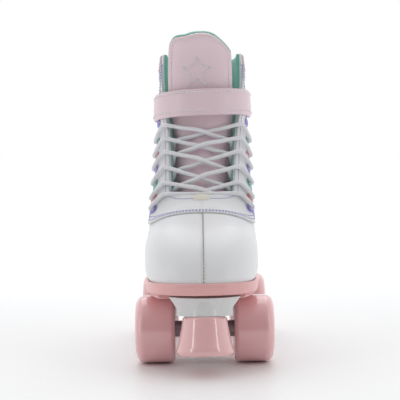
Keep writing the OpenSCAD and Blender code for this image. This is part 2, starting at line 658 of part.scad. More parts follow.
place() axle();  // axle_front
place() rear() axle();  // axle_rear
place() axle_nuts();  // axle_nuts_front
place() rear() axle_nuts();  // axle_nuts_rear
place() inner_races();  // bearing_inner_races_front
place() rear() inner_races();  // bearing_inner_races_rear
place() wheel_part("tyre", -1, false);  // tyre_front_left
place() wheel_part("hub", -1, false);  // hub_front_left
place() wheel_part("bearings", -1, false);  // bearings_front_left
place() wheel_part("tyre", 1, false);  // tyre_front_right
place() wheel_part("hub", 1, false);  // hub_front_right
place() wheel_part("bearings", 1, false);  // bearings_front_right
place() wheel_part("tyre", -1, true);  // tyre_rear_left
place() wheel_part("hub", -1, true);  // hub_rear_left
place() wheel_part("bearings", -1, true);  // bearings_rear_left
place() wheel_part("tyre", 1, true);  // tyre_rear_right
place() wheel_part("hub", 1, true);  // hub_rear_right
place() wheel_part("bearings", 1, true);  // bearings_rear_right
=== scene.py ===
# %% [markdown]
# # A quad roller skate
# This lesson dresses a finished mechanical frame of a left roller skate. The frame holds the plate,
# the trucks, the wheels and plain solids for the soft boot. Here every soft piece gets its real
# skin, stitches and padding, and every hard piece its real finish.

# %% Load the frame
import json
import math

import bmesh
import bpy
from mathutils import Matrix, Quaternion, Vector


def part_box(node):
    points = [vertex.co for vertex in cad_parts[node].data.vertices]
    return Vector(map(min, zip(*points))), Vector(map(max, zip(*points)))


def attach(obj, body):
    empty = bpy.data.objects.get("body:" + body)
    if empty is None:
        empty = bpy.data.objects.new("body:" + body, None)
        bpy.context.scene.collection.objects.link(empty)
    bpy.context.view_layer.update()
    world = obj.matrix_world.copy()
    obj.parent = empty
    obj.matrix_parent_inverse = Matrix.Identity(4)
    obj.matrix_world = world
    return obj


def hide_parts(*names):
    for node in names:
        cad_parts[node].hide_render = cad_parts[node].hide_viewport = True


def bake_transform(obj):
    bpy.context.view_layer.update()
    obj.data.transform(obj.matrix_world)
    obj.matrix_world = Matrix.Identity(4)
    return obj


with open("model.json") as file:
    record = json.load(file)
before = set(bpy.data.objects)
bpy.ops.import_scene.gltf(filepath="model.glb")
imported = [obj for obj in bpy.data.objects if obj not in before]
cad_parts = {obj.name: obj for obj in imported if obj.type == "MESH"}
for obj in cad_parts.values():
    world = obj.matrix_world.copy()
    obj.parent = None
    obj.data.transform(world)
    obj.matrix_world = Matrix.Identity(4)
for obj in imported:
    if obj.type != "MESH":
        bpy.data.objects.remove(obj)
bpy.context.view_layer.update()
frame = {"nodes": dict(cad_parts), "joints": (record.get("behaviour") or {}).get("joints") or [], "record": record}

# %% [markdown]
# ## Measures
# All making is done in millimetres with the front axle over the origin, as a bootmaker measures
# from the axle line. One function moves a point into the frame at the end, and it finds the axle
# in the frame itself, so nothing here has to be moved by hand.

# %% Millimetres to the frame
MM = 0.001


def span(node):
    low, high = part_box(node)
    return Vector(low) / MM, Vector(high) / MM


axle_low, axle_high = span("axle_front")
axle_y = (axle_low.y + axle_high.y) / 2
axle_z = (axle_low.z + axle_high.z) / 2
rear_low, rear_high = span("axle_rear")
wheelbase = (rear_low.y + rear_high.y) / 2 - axle_y


def placed(point):
    return Vector((point[0], point[1] + axle_y, point[2])) * MM


print(f"front axle at y {axle_y:.1f} mm, z {axle_z:.1f} mm, wheelbase {wheelbase:.1f} mm")

# %% Small number helpers
def mix(a, b, t):
    return a + (b - a) * t


def steps(a, b, n):
    return [mix(a, b, i / n) for i in range(n + 1)]


def clamp(t, low=0.0, high=1.0):
    return max(low, min(high, t))


def smooth(t):
    t = clamp(t)
    return t * t * (3 - 2 * t)


def at(values, u):
    """The value of a list at a whole or part place, smoothly between its entries."""
    n = len(values) - 1
    k = clamp(u, 0, n)
    i = min(int(k), n - 1)
    t = k - i
    a, b, c, d = values[max(i - 1, 0)], values[i], values[i + 1], values[min(i + 2, n)]
    return 0.5 * (2 * b + (c - a) * t + (2 * a - 5 * b + 4 * c - d) * t * t
                  + (3 * b - a - 3 * c + d) * t * t * t)


# %% [markdown]
# ## The last
# A boot is pulled over a wooden last, and every panel of leather lies on that one shape. So the
# last is one function here: u runs from the toe to the collar, v runs round the foot from the
# instep to the sole or the heel, and d is the distance out from the surface. Each panel, seam and
# stitch asks this function for its place, and so they always fit each other.

# %% The last's stations
bottom_heights = [63, 61, 60.5, 62, 66, 71.5, 76, 78.5, 79]


def bottom_z(y):
    return at(bottom_heights, (y + 64) / 30)


ball_y, ball_half, toe_length, toe_stations = 4, 45.8, 67, 6


def toe_station(k):
    a = math.radians(3 + 87 * k / toe_stations)
    y = ball_y - toe_length * math.cos(a) ** 0.87 if k < toe_stations else ball_y
    w = ball_half * math.sin(a) ** 0.87
    top = 66 + 40 * math.sin(a) ** 0.75 + 12.5 * (y - ball_y + toe_length) / toe_length
    return (y, top, y, bottom_z(y), w, w, 0.55, 2.4, 3.6, -2)


def foot_station(near_y, near_z, far_y, near_w, far_w, widest, squareness, shift):
    return (near_y, near_z, far_y, bottom_z(far_y), near_w, far_w, widest, 2.5, squareness, shift)


stations = [toe_station(k) for k in range(toe_stations + 1)] + [
    foot_station(22, 124.5, 20, 45.6, 45, 0.55, 3.6, -1.6),
    foot_station(37, 142, 50, 44.6, 42, 0.5, 3.8, -1),
    foot_station(50, 161, 85, 43.6, 38, 0.48, 4.2, -0.4),
    foot_station(61, 179, 125, 42.8, 35.5, 0.45, 4.4, 0),
    foot_station(68, 192, 158, 42.2, 34.5, 0.43, 3.8, 0.4),
    (72, 201, 172.5, 92, 41.8, 34, 0.42, 2.4, 2.8, 0.5),
    (75, 210, 173.5, 120, 41.4, 33.5, 0.42, 2.4, 2.4, 0.5),
    (78, 220, 169, 150, 41, 33, 0.42, 2.35, 2.3, 0.5),
    (80.5, 229, 164.5, 180, 40, 33.5, 0.43, 2.3, 2.3, 0.5),
    (82.5, 238, 163.5, 205, 38.8, 34, 0.45, 2.3, 2.3, 0.5),
    (84, 247, 165, 228, 37.6, 34, 0.47, 2.3, 2.3, 0.5),
    (85.5, 256, 167, 247, 36.5, 34, 0.48, 2.3, 2.3, 0.5),
]
columns = list(zip(*stations))
collar = len(stations) - 1
throat = 7.45
print("last has", len(stations), "stations")


# %% Points on the last
def boot(u, v, d=0.0):
    s = [at(c, u) for c in columns]
    dy, dz = s[2] - s[0], s[3] - s[1]
    depth = math.hypot(dy, dz)
    near = abs(v) <= 90
    e = 2 / (s[7] if near else s[8])
    across = abs(math.sin(math.radians(v))) ** e
    down = abs(math.cos(math.radians(v))) ** e
    r = s[6] * (1 - down) if near else s[6] + (1 - s[6]) * down
    tip = d * max(0.0, 1 - u / toe_stations) ** 0.7
    run = -d + r * (depth + 2 * d)
    x = math.copysign((mix(s[4], s[5], r) + d) * across, v) + s[9]
    return Vector((x, s[0] + dy / depth * run - tip, s[1] + dz / depth * run))


def outward(u, v):
    """The direction straight out of the last's surface."""
    along_u = boot(u + 0.05, v) - boot(u - 0.05, v)
    n = along_u.cross(boot(u, v + 1) - boot(u, v - 1)).normalized()
    return -n if n.dot(boot(u, v, 1) - boot(u, v, -1)) < 0 else n


def v_above(u, h, d):
    low, high = 70.0, 180.0
    for _ in range(15):
        m = (low + high) / 2
        p = boot(u, m, d)
        if p.z > bottom_z(p.y) + h:
            low = m
        else:
            high = m
    return low


def u_at_height(z, v, d):
    low, high = 7.0, float(collar)
    for _ in range(15):
        m = (low + high) / 2
        if boot(m, v, d).z < z:
            low = m
        else:
            high = m
    return low


print("ball is", round(boot(6, 90).x - boot(6, -90).x, 1), "mm wide")

# %% [markdown]
# ## Finishes
# Each finish is a small node tree on the Principled shader. Colour and roughness drift slowly over
# the surface, and the grain is bump at its real size. The texture space is the object's own, in
# metres, so a scale of 1000 gives cells one millimetre wide.

# %% Node helpers
class Finish:
    """Builds one Principled material step by step."""

    def __init__(self, name, color, rough, **sockets):
        self.material = bpy.data.materials.new(name)
        self.material.use_nodes = True
        self.tree = self.material.node_tree
        self.shader = self.tree.nodes["Principled BSDF"]
        self.color = (*color, 1.0)
        self.shader.inputs["Base Color"].default_value = self.color
        self.shader.inputs["Roughness"].default_value = rough
        for socket, value in sockets.items():
            self.shader.inputs[socket.replace("_", " ")].default_value = value
        self.space = self.node("ShaderNodeTexCoord").outputs["Object"]
        self.height = None

    def node(self, kind, **values):
        made = self.tree.nodes.new(kind)
        for key, value in values.items():
            if hasattr(made, key):
                setattr(made, key, value)
            else:
                made.inputs[key.replace("_", " ")].default_value = value
        return made

    def link(self, a, b):
        self.tree.links.new(a, b)

    def stretched(self, scale, space=None):
        mapping = self.node("ShaderNodeMapping")
        mapping.inputs["Scale"].default_value = scale
        self.link(space or self.space, mapping.inputs["Vector"])
        return mapping.outputs["Vector"]

    def noise(self, scale, detail=3.0, space=None):
        made = self.node("ShaderNodeTexNoise", Scale=scale, Detail=detail)
        self.link(space or self.space, made.inputs["Vector"])
        return made.outputs["Fac"]

    def cells(self, scale, space=None):
        made = self.node("ShaderNodeTexVoronoi", feature="SMOOTH_F1", Scale=scale, Smoothness=0.5)
        self.link(space or self.space, made.inputs["Vector"])
        return made.outputs["Distance"]

    def waves(self, scale, direction, space=None, distortion=0.0):
        made = self.node("ShaderNodeTexWave", bands_direction=direction, Scale=scale,
                         Distortion=distortion)
        self.link(space or self.space, made.inputs["Vector"])
        return made.outputs["Fac"]

    def ranged(self, value, low, high, start=0.0, end=1.0):
        made = self.node("ShaderNodeMapRange", From_Min=start, From_Max=end, To_Min=low, To_Max=high)
        self.link(value, made.inputs["Value"])
        return made.outputs["Result"]

    def tint(self, value, color, amount=1.0):
        """Moves the base colour towards another colour where value is high."""
        made = self.node("ShaderNodeMix", data_type="RGBA")
        source = self.shader.inputs["Base Color"]
        if source.is_linked:
            self.link(source.links[0].from_socket, made.inputs[6])
        else:
            made.inputs[6].default_value = self.color
        made.inputs[7].default_value = (*color, 1.0)
        self.link(self.ranged(value, 0, amount), made.inputs[0])
        self.link(made.outputs[2], source)
        return self

    def drift(self, scale, low, high):
        """Lets the roughness vary over the surface."""
        self.link(self.ranged(self.noise(scale, 4), low, high, 0.3, 0.7),
                  self.shader.inputs["Roughness"])
        return self

    def bump(self, value, distance, strength=1.0):
        made = self.node("ShaderNodeBump", Strength=strength, Distance=distance)
        self.link(value, made.inputs["Height"])
        if self.height:
            self.link(self.height, made.inputs["Normal"])
        self.height = made.outputs["Normal"]
        self.link(self.height, self.shader.inputs["Normal"])
        return self


def darker(color, k):
    return tuple(c * k for c in color)


# %% [markdown]
# Smooth synthetic leather has a printed grain of soft cells, less than a millimetre wide, under a
# thin glossy film. Cell bump gives the grain, a little broad noise gives the slight unevenness of
# the backing cloth, and the coat gives the film.

# %% Leather and thread
def leather(name, color, rough=0.38, grain=0.00006):
    made = Finish(name, color, rough, Coat_Weight=0.25, Coat_Roughness=0.3, Specular_IOR_Level=0.45)
    made.tint(made.noise(14, 5), darker(color, 0.93), 0.7)
    made.tint(made.cells(1100), darker(color, 0.96), 0.5)
    made.drift(60, rough - 0.05, rough + 0.08)
    made.bump(made.cells(1100), grain, 0.6).bump(made.noise(2600, 2), 0.00002, 0.5)
    return made.bump(made.noise(90, 3), 0.00025, 0.25)


def thread(name, color):
    made = Finish(name, color, 0.55, Sheen_Weight=0.2)
    made.tint(made.noise(1800, 2), darker(color, 0.75), 0.8)
    return made.bump(made.waves(1900, "DIAGONAL"), 0.00008, 0.6)


white = leather("white_leather", (0.80, 0.80, 0.815)).material
pink = leather("pink_leather", (0.80, 0.625, 0.68), 0.42).material
cream = leather("cream_tape", (0.80, 0.76, 0.66), 0.7).material
lilac_thread = thread("lilac_thread", (0.36, 0.33, 0.72)).material
pale_lilac_thread = thread("pale_lilac_thread", (0.58, 0.56, 0.80)).material
cream_thread = thread("cream_thread", (0.84, 0.80, 0.72)).material
strap_thread = thread("strap_thread", (0.93, 0.90, 0.86)).material
beige_thread = thread("beige_thread", (0.38, 0.34, 0.25)).material
silver_thread = thread("silver_thread", (0.88, 0.87, 0.90)).material
white_thread = thread("white_thread", (0.82, 0.82, 0.84)).material
print("leather and thread ready")


# %% [markdown]
# The lining is a brushed knit: two crossed rows of fine ribs, blurred by a nap. Sheen lights the
# nap where it is seen edge on. The foam footbed has the same cloth in a paler colour.

# %% Cloths
def knit(name, color, rib=700):
    made = Finish(name, color, 0.9, Sheen_Weight=0.5, Sheen_Roughness=0.5)
    made.tint(made.noise(45, 4), darker(color, 0.82), 0.8)
    made.tint(made.waves(rib, "X"), darker(color, 0.88), 0.5)
    made.bump(made.waves(rib, "X", distortion=1.5), 0.00012, 0.6)
    made.bump(made.waves(rib, "Z", distortion=1.5), 0.00012, 0.6)
    return made.bump(made.noise(2400, 3), 0.0001, 0.6)


mint = knit("mint_lining", (0.22, 0.60, 0.49)).material
footbed_cloth = knit("footbed_cloth", (0.80, 0.79, 0.76), 900).material
hook_tape = knit("hook_tape", (0.74, 0.72, 0.75), 1400).material


def braid(name, color):
    """A round braided lace: two sets of strands wound opposite ways, drawn on the tube's own map."""
    made = Finish(name, color, 0.7, Sheen_Weight=0.3, Sheen_Roughness=0.4)
    around = made.node("ShaderNodeUVMap", uv_map="lace_map").outputs["UV"]
    one = made.waves(0.5, "DIAGONAL", made.stretched((1.0, 1.0, 1.0), around))
    two = made.waves(0.5, "DIAGONAL", made.stretched((1.0, -1.0, 1.0), around))
    both = made.node("ShaderNodeMath", operation="MAXIMUM")
    made.link(one, both.inputs[0])
    made.link(two, both.inputs[1])
    # The grooves between the strands are darkened here: painted shade.
    made.tint(made.ranged(both.outputs[0], 1, 0), darker(color, 0.72), 0.8)
    return made.bump(both.outputs[0], 0.00035, 0.7).bump(made.noise(3000, 2), 0.00005, 0.5)


lace_cloth = braid("white_braid", (0.86, 0.86, 0.885)).material
print("cloths ready")


# %% [markdown]
# Wheels and stopper are cast polyurethane: clear, glossy, and a little soft to light. The sole is
# moulded rubber with a duller skin, and the plate is moulded nylon. Each has a faint orange peel
# and small handling marks, which show as broken highlights.

# %% Plastics, rubber and metal
def moulded(name, color, rough, coat, peel, shade=0.9):
    made = Finish(name, color, rough, Coat_Weight=coat, Coat_Roughness=0.08)
    made.tint(made.noise(25, 4), darker(color, shade), 0.6)
    made.drift(140, rough - 0.03, rough + 0.07)
    return made.bump(made.noise(420, 3), peel, 0.35).bump(made.noise(2500, 2), peel / 5, 0.4)


wheel_pink = moulded("wheel_urethane", (0.87, 0.49, 0.50), 0.2, 1.0, 0.00009).material
stop_pink = moulded("stopper_urethane", (0.85, 0.49, 0.49), 0.18, 1.0, 0.00009).material
sole_pink = moulded("sole_rubber", (0.80, 0.43, 0.425), 0.4, 0.25, 0.0002).material
plate_white = moulded("plate_nylon", (0.72, 0.72, 0.72), 0.24, 0.4, 0.00015, 0.96).material
hub_pale = moulded("hub_nylon", (0.84, 0.62, 0.62), 0.35, 0.3, 0.00015).material
cushion_pink = moulded("cushion_urethane", (0.80, 0.60, 0.60), 0.35, 0.3, 0.00015).material
cup_white = moulded("cup_nylon", (0.72, 0.72, 0.72), 0.4, 0.1, 0.00015).material
dark_seal = moulded("bearing_seal", (0.03, 0.03, 0.035), 0.4, 0.1, 0.0001).material
board_brown = moulded("fibre_board", (0.45, 0.34, 0.2), 0.85, 0.0, 0.0004, 0.7).material


def metal(name, color, rough, grain):
    made = Finish(name, color, rough, Metallic=1.0)
    brushed = made.stretched((200, 1, 1))
    made.tint(made.noise(30, 4), darker(color, 0.75), 0.6)
    made.drift(220, rough - 0.06, rough + 0.12)
    return made.bump(made.noise(900, 4), grain, 0.4).bump(made.noise(12, 2, brushed), grain / 2, 0.4)


zinc = metal("zinc_steel", (0.60, 0.61, 0.63), 0.3, 0.00003).material
# The alloy's dark mauve grey is partly its own tone and partly painted shade with a painted pink reflection.
cast_grey_and_painted_shade = metal("cast_alloy_and_painted_shade", (0.40, 0.37, 0.40), 0.48, 0.00012).material


def enamel(name, color):
    made = Finish(name, color, 0.22, Coat_Weight=0.8, Coat_Roughness=0.06, Metallic=0.25)
    made.tint(made.noise(500, 3), darker(color, 0.8), 0.5)
    return made.drift(900, 0.18, 0.32).bump(made.noise(1500, 2), 0.00003, 0.4)


eyelet_enamels = {
    "eyelets_lilac": enamel("lilac_enamel", (0.26, 0.22, 0.70)).material,
    "eyelets_coral": enamel("coral_enamel", (0.80, 0.24, 0.22)).material,
    "eyelets_mint": enamel("mint_enamel", (0.08, 0.52, 0.40)).material,
}
print("hard finishes ready")


# %% [markdown]
# ## Making meshes
# Every soft panel is a sheet with thickness: an outer and an inner grid of points and a rim that
# joins them. A small bevel rounds the cut edge, which real leather has too, and it catches light.

# %% Objects, bevels and grids
def linked(name, data):
    """Puts new data into the scene as an object of the same name."""
    made = bpy.data.objects.new(name, data)
    bpy.context.collection.objects.link(made)
    return made


def round_edges(piece, width, segments, degrees):
    edge = piece.modifiers.new("rounded_edge", "BEVEL")
    edge.width = width * MM
    edge.segments = segments
    edge.limit_method = "ANGLE"
    edge.angle_limit = math.radians(degrees)
    edge.harden_normals = True


def finished(name, points, faces, material, body="boot", bevel=0.0, replaces=(), slot=None):
    mesh = bpy.data.meshes.new(name)
    mesh.from_pydata([placed(p) for p in points], [], faces)
    work = bmesh.new()
    work.from_mesh(mesh)
    bmesh.ops.remove_doubles(work, verts=work.verts, dist=0.00001)
    bmesh.ops.recalc_face_normals(work, faces=work.faces)
    work.to_mesh(mesh)
    work.free()
    mesh.materials.append(material)
    mesh.shade_smooth()
    piece = linked(name, mesh)
    if bevel:
        round_edges(piece, bevel, 3, 50)
    if body:
        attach(piece, body)
    if replaces:
        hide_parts(*replaces)
    print(f"{name}: {len(mesh.polygons)} faces")
    return piece


def grid_faces(rows, cols, first=0, flip=False, around=False):
    faces = []
    for i in range(rows - 1):
        for j in range(cols if around else cols - 1):
            k = (j + 1) % cols
            face = (first + i * cols + j, first + (i + 1) * cols + j,
                    first + (i + 1) * cols + k, first + i * cols + k)
            faces.append(face[::-1] if flip else face)
    return faces


def slab(outer, inner):
    """Two equal grids, given as rows of points, closed all round."""
    m, n = len(outer), len(outer[0])
    points = [p for row in outer for p in row] + [p for row in inner for p in row]
    faces = grid_faces(m, n) + grid_faces(m, n, m * n, flip=True)
    rim = list(range(n)) + [i * n + n - 1 for i in range(1, m)]
    rim += [(m - 1) * n + j for j in range(n - 2, -1, -1)] + [i * n for i in range(m - 2, 0, -1)]
    for a, b in zip(rim, rim[1:] + rim[:1]):
        faces.append((a, b, b + m * n, a + m * n))
    return points, faces


def panel(side, us, v_in, v_out, cols, low, high, puff=None):
    """A panel on one side of the last, between two edges, from low to high above the surface."""
    def skin(d, padded):
        rows = []
        for u in us:
            row = []
            for j in range(cols + 1):
                t = j / cols
                v = mix(v_in(u), v_out(u), t)
                extra = puff(u, t) if puff and padded else 0
                row.append(boot(u, side * v, d + extra))
            rows.append(row)
        return rows
    return slab(skin(high, True), skin(low, False))


def joined(parts):
    points, faces = [], []
    for some_points, some_faces in parts:
        first = len(points)
        points += some_points
        faces += [tuple(first + i for i in face) for face in some_faces]
    return points, faces


# %% [markdown]
# A stitch is a short thread that rises from one needle hole and dives into the next. Each one is a
# real bent tube here, because stitching is what gives this boot its colour and scale.

# %% Stitching
def tube_rings(path, radius, sides, normals):
    rings = []
    for i, p in enumerate(path):
        way = (path[min(i + 1, len(path) - 1)] - path[max(i - 1, 0)]).normalized()
        n = normals[i] - way * normals[i].dot(way)
        n.normalize()
        b = way.cross(n)
        r = radius[i] if isinstance(radius, list) else radius
        rings.append([p + (n * math.cos(a) + b * math.sin(a)) * r
                      for a in (2 * math.pi * j / sides for j in range(sides))])
    return rings


def tube(path, radius, sides, normals):
    rings = tube_rings(path, radius, sides, normals)
    points = [p for ring in rings for p in ring]
    last = (len(rings) - 1) * sides
    faces = grid_faces(len(rings), sides, around=True)
    faces.append(tuple(range(sides)))
    faces.append(tuple(last + j for j in range(sides - 1, -1, -1)))
    return points, faces


def along(path, distance):
    """Walks a path of (point, normal) pairs and returns the place at a distance."""
    for (p, n), (q, m) in zip(path, path[1:]):
        step = (q - p).length
        if distance <= step:
            t = distance / step if step else 0
            return p.lerp(q, t), n.lerp(m, t).normalized()
        distance -= step
    return path[-1]


def path_length(path):
    return sum((q[0] - p[0]).length for p, q in zip(path, path[1:]))


def stitches(name, paths, material, body="boot", pitch=2.7, length=2.0, radius=0.32):
    parts = []
    for path in paths:
        total = path_length(path)
        count = max(1, int(total / pitch))
        for i in range(count):
            start = (i + 0.5) * total / count - length / 2
            places = [along(path, clamp(start + length * t, 0, total)) for t in (0, 0.2, 0.5, 0.8, 1)]
            rise = [-0.25, 0.12, 0.28, 0.12, -0.25]
            route = [p + n * h for (p, n), h in zip(places, rise)]
            size = [radius * k for k in (0.7, 1, 1.1, 1, 0.7)]
            parts.append(tube(route, size, 6, [n for _, n in places]))
    return finished(name, *joined(parts), material, body)


def on_boot(route, d):
    """A path of points and normals along (u, v) places on the last."""
    return [(boot(u, v, d), outward(u, v)) for u, v in route]


# %% [markdown]
# ## The vamp
# The vamp is the leather over the toes. It is cut as two halves and closed by one seam down the
# middle of the toe, with one row of beige thread beside it. The seam is a shallow valley between two
# soft welts, so it is drawn into the surface itself.

# %% Vamp with its toe seam
leather_t = 1.6
vamp_us = steps(0, throat + 0.12, 66)
seam_us = steps(0.05, 6.2, 60)


def seam_rise(u, v):
    """The welt either side of the toe seam, in millimetres."""
    x = boot(u, v).x - boot(u, 0).x
    return 0.25 * math.exp(-((abs(x) - 1.1) / 0.8) ** 2) - 0.3 * math.exp(-(x / 0.4) ** 2)


def vamp_points(d, welt):
    rows = []
    for u in vamp_us:
        width = boot(u, 90).x - boot(u, 0).x
        row = []
        for k in range(-40, 41):
            t = abs(k) / 40
            v = math.copysign(150 * t ** 1.25, k) if k else 0
            row.append(boot(u, v, d + (seam_rise(u, v) if welt and t < 0.4 else 0)))
        rows.append(row)
    return rows


finished("vamp", *slab(vamp_points(0, True), vamp_points(-leather_t, False)), white,
         bevel=0.4, replaces=("vamp_left", "vamp_right"), slot="white_leather")


def seam_line(offset):
    line = []
    for u in seam_us:
        base, n = boot(u, 0, 0.5), outward(u, 0.5)
        line.append((base + Vector((offset, 0, -0.04 * abs(offset))), n))
    return line


stitches("toe_seam_stitches", [seam_line(1.5)], beige_thread, length=1.8, radius=0.42)

# %% [markdown]
# ## Quarters, back strip and collar
# The two quarters wrap the ankle and meet down the back, where a strip covers the seam. A pink
# band goes round the outside of the collar. The collar is padded, so the band swells a little.

# %% Quarters
opening_edge = [(throat, 30), (12, 42), (14, 52), (16, 64), (17, 70), (18, 74)]


def edge_v(u):
    """The edge of the lace opening. It widens above the ankle, where the tongue stands free."""
    for (u0, v0), (u1, v1) in zip(opening_edge, opening_edge[1:]):
        if u <= u1:
            return mix(v0, v1, clamp((u - u0) / (u1 - u0)))
    return opening_edge[-1][1]


def wrap_v(u):
    return mix(150, 180, clamp((u - 10) / 2))


def swell(u, t):
    """The collar's padding swells the leather between its top edge and the strap."""
    return 1.3 * math.sin(math.pi * clamp((u - 14.6) / (collar - 14.6))) * smooth((t - 0.1) / 0.2)


eyelet_rows = [7.62, 8.12, 8.85, 9.6, 10.4, 11.7, 13.05]


def eyelet_v(row):
    return mix(57, 64, row / (len(eyelet_rows) - 1))


def eyelet_cutter():
    """One drill per eyelet, joined into one object that cuts the quarters and the facing."""
    parts = []
    for side in (-1, 1):
        for row, u in enumerate(eyelet_rows):
            v = side * eyelet_v(row)
            centre, n = boot(u, v), outward(u, v)
            across = n.cross(Vector((0, 0, 1))).normalized()
            parts.append(tube([centre - n * 9, centre + n * 6], 3.05, 20, [across, across]))
    points, faces = joined(parts)
    mesh = bpy.data.meshes.new("eyelet_drills")
    mesh.from_pydata([placed(p) for p in points], [], faces)
    return linked("eyelet_drills", mesh)


drills = eyelet_cutter()


def drill(piece):
    """Cuts the eyelet holes now, so that the piece keeps plain geometry."""
    hole = piece.modifiers.new("eyelet_holes", "BOOLEAN")
    hole.operation = "DIFFERENCE"
    hole.solver = "EXACT"
    hole.object = drills
    view = bpy.context.evaluated_depsgraph_get()
    cut = bpy.data.meshes.new_from_object(piece.evaluated_get(view))
    piece.modifiers.clear()
    piece.data = cut
    return piece


quarter_us = steps(throat, collar, 84)
for side, word in ((-1, "left"), (1, "right")):
    quarter = finished(f"quarter_{word}_skin",
                       *panel(side, quarter_us, edge_v, wrap_v, 52, -leather_t, 0, swell),
                       white, replaces=(f"quarter_{word}",), slot="white_leather")
    drill(quarter)

# %% Back strip and collar band
strip_low = 12.2
back_middle = 180


def strip_in(u):
    """The strip narrows a little on its way up."""
    return 152 + 5 * smooth((u - strip_low) / 4)


def strip_out(u):
    return back_middle


parts = [panel(side, steps(strip_low, 16.7, 40), strip_in, strip_out, 10, 0.05, 1.2, swell)
         for side in (-1, 1)]
finished("back_strip", *joined(parts), white, bevel=0.4, replaces=("backstay",),
         slot="white_leather")
rows = []
for side in (-1, 1):
    for inset in (2.4, 5.0):
        rows.append(on_boot([(u, side * (strip_in(u) + inset))
                             for u in steps(strip_low + 0.05, 16.6, 40)], 1.35))
stitches("back_strip_stitches", rows, white_thread)


def band_swell(u, t):
    return swell(u, 1) + 0.25 * math.sin(math.pi * clamp((u - 16.85) / 1.15))


parts = [panel(side, steps(16.85, collar + 0.05, 16), lambda u: 84, strip_out, 44, 0.05, 1.2,
               band_swell) for side in (-1, 1)]
finished("collar_band", *joined(parts), pink, bevel=0.4, replaces=("collar_trim",),
         slot="pink_leather")
rows = [on_boot([(u, side * v) for v in steps(85, 178, 60)], 1.5 + swell(u, 1))
        for side in (-1, 1) for u in (17.02, 17.8)]
rows += [on_boot([(u, side * v) for v in steps(66, 178, 60)], 0.3 + swell(u, 1))
         for side in (-1, 1) for u in (16.45, 16.62)]
stitches("collar_stitches", rows, pale_lilac_thread, radius=0.22)

# %% [markdown]
# ## Lace facing
# A second layer of leather carries the eyelets. It runs under the foot of the opening and up both
# sides in one U. Two rows of lilac thread follow its outer edge and one follows the opening. The
# mesh rows close in to the middle at the bottom, which rounds the U without any cutting.

# %% Facing
facing_low, facing_high = 6.22, 17.2
corner_u, corner_v = 7.35, 70


def facing_in(u):
    if u < throat:
        return 0.0
    return edge_v(u) * math.sqrt(clamp((u - throat) / 0.3))


def facing_out(u):
    low = corner_v * math.sqrt(clamp((u - facing_low) / (corner_u - facing_low)))
    return min(low, mix(corner_v, 78, clamp((u - corner_u) / 4)))


facing_us = ([facing_low + 1.13 * (i / 14) ** 2 for i in range(15)] + steps(7.4, 7.43, 1)
             + [throat + 0.33 * (i / 8) ** 2 for i in range(9)] + steps(7.86, facing_high, 84))
parts = [panel(side, facing_us, facing_in, facing_out, 16, 0.2, 1.8) for side in (-1, 1)]
facing = finished("lace_facing", *joined(parts), white,
                  replaces=("lace_facing_left", "lace_facing_right"), slot="white_leather")
drill(facing)


def outer_row(inset):
    """A row of places that follows the facing's outer edge, from one side round to the other."""
    route = []
    for side in (-1, 1):
        half = []
        for t in steps(0, 1, 26):
            u = facing_low + inset / 24 + (corner_u - facing_low) * t * t
            half.append((u, side * (corner_v - 1.6 - inset) * t))
        for u in steps(corner_u + 0.12, facing_high - 0.1, 70):
            half.append((u, side * (facing_out(u) - 1.6 - inset)))
        route = half[::-1] if side < 0 else route + half
    return on_boot(route, 1.8)


def inner_row():
    route = []
    for side in (-1, 1):
        half = [(throat - 0.16 + 0.5 * t ** 3, side * (facing_in(throat + 0.3) + 4.2) * t)
                for t in steps(0, 1, 14)]
        half += [(u, side * (edge_v(u) + 4.2)) for u in steps(throat + 0.4, 15.2, 60)]
        route = half[::-1] if side < 0 else route + half
    return on_boot(route, 1.8)


rows = [outer_row(1.6), outer_row(3.9), inner_row()]
stitches("facing_stitches", rows, lilac_thread, radius=0.28)
bpy.data.objects.remove(drills)

# %% [markdown]
# A folded tape tab is caught in the foot of the opening. It stops the leather from tearing there.

# %% Throat tab
def tab_point(s, x, thick):
    """s runs from the vamp, over the edge, and down inside the opening."""
    u = mix(throat - 0.26, throat - 0.02, clamp(s))
    over = clamp(s - 1)
    p = boot(u, 0, 2.6 + thick + 0.5 * math.sin(math.pi * clamp(s)))
    return p + Vector((6.6 * x, 1.6 * over, -3.4 * over * over - 0.5 * abs(x) ** 2))


tab_s = steps(0, 2, 20)
tab_x = steps(-1, 1, 12)
finished("throat_tab_tape", *slab([[tab_point(s, x, 0) for x in tab_x] for s in tab_s],
                                  [[tab_point(s, x, -0.9) for x in tab_x] for s in tab_s]),
         cream, bevel=0.3, replaces=("throat_tab",), slot="cream_leather")

# %% [markdown]
# ## Tongue
# The tongue is a padded flap: foam between the pink face and a mint back. It bows across the
# shin, and its top is cut in a soft wave. The face and back are two skins that meet at a rounded
# edge, and the pink skin stops just short of the top, so that a thin mint edge shows.

# %% Tongue shape
tongue_line = [(8, 110.5, 19), (24, 117.5, 21.5), (38, 129.8, 22.5), (50.5, 146.4, 23),
               (61.5, 163.7, 24), (71.8, 177.4, 25), (76.6, 191.6, 26), (80.2, 208.8, 27.2),
               (82, 224, 27.8), (83, 238.5, 27.8), (82.3, 251.5, 27.2), (80, 262, 25.5),
               (77.5, 269, 23.5)]
tongue_columns = list(zip(*tongue_line))


def tongue_at(t):
    return [at(c, t) for c in tongue_columns]


def tongue_point(t, k, d):
    y, z, half = tongue_at(t)
    y0, z0, _ = tongue_at(max(t - 0.1, 0))
    y1, z1, _ = tongue_at(min(t + 0.1, 12))
    long = math.hypot(y1 - y0, z1 - z0)
    wy, wz = (y1 - y0) / long, (z1 - z0) / long
    sunk = mix(11, 8, smooth((t - 6.5) / 2.5)) * abs(k) ** 2.2 + d
    return Vector((half * k - 1.3 * smooth((t - 6) / 2), y + wz * sunk, z - wy * sunk))


